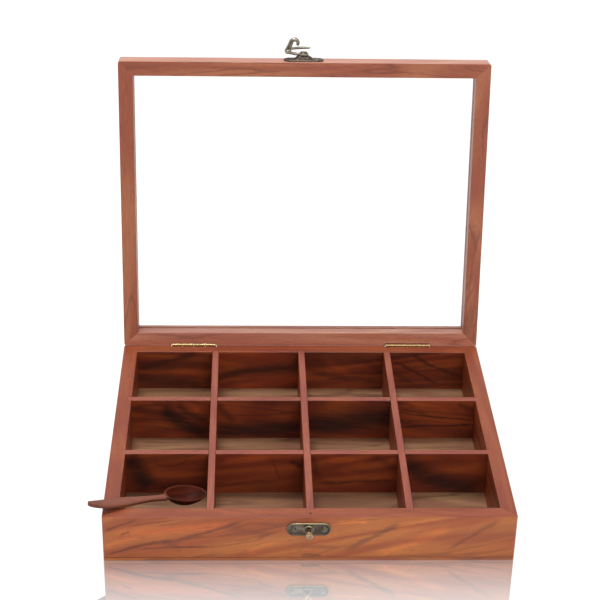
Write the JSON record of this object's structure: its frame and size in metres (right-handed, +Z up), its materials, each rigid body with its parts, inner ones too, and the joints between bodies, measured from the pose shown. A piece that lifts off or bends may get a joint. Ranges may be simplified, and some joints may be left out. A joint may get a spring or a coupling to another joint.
{
  "type": "spice box",
  "caption": "Shallow wooden spice box with divided compartments, a hinged glass lid, a swing hook clasp and a small wooden spoon.",
  "frame": {"origin": "centre of the underside of the bottom panel", "axes": "+X to the right seen from the clasp side, +Y to the hinged back, +Z up; the lid is stored standing open"},
  "size_m": [0.263, 0.2753, 0.2467],
  "materials": {
    "wall_wood": "satin oiled rosewood",
    "divider_wood": "satin oiled rosewood",
    "lid_wood": "satin oiled rosewood",
    "floor_wood": "plain matt panel",
    "spoon_wood": "smooth carved rosewood",
    "clear_glass": "clear polished",
    "polished_brass": "polished",
    "antique_brass": "antique, worn bright on edges"
  },
  "bodies": {
    "base": {"base_front_wall": "wall_wood", "base_back_wall": "wall_wood", "base_left_wall": "wall_wood", "base_right_wall": "wall_wood", "bottom_panel": "floor_wood", "long_divider_left": "divider_wood", "long_divider_middle": "divider_wood", "long_divider_right": "divider_wood", "cross_divider_front": "divider_wood", "cross_divider_back": "divider_wood", "hinge_leaf_base_left": "polished_brass", "hinge_leaf_base_right": "polished_brass", "hinge_pin_left": "polished_brass", "hinge_pin_right": "polished_brass", "hinge_screws_base": "polished_brass", "catch_plate": "antique_brass", "catch_stud": "antique_brass", "catch_screws": "antique_brass"},
    "lid": {"lid_front_rail": "lid_wood", "lid_back_rail": "lid_wood", "lid_left_rail": "lid_wood", "lid_right_rail": "lid_wood", "glass_pane": "clear_glass", "hinge_leaf_lid_left": "polished_brass", "hinge_leaf_lid_right": "polished_brass", "hinge_screws_lid": "polished_brass", "clasp_plate": "antique_brass", "clasp_screws": "antique_brass", "hook_rivet": "antique_brass"},
    "hook": {"swing_hook": "antique_brass"},
    "spoon": {"spoon": "spoon_wood"}
  },
  "joints": [
    {"name": "lid_hinge", "type": "hinge", "parent": "base", "child": "lid", "pos_m": [0, 0.10245, 0.0328], "axis": [-1, 0, 0], "range_deg": [-99.5, 0]},
    {"name": "hook_swing", "type": "hinge", "parent": "lid", "child": "hook", "pos_m": [-0.001, 0.14386, 0.23418], "axis": [0, 0.165, 0.9863], "range_deg": [-180, 90]},
    {"name": "spoon_lift_out", "type": "slide", "parent": "base", "child": "spoon", "axis": [-0.766, 0, 0.6428], "range_m": [0, 0.1]}
  ],
  "couplings": [
    {"joint": "spoon_lift_out", "follows": "lid_hinge", "m_per_rad": -0.057}
  ]
}
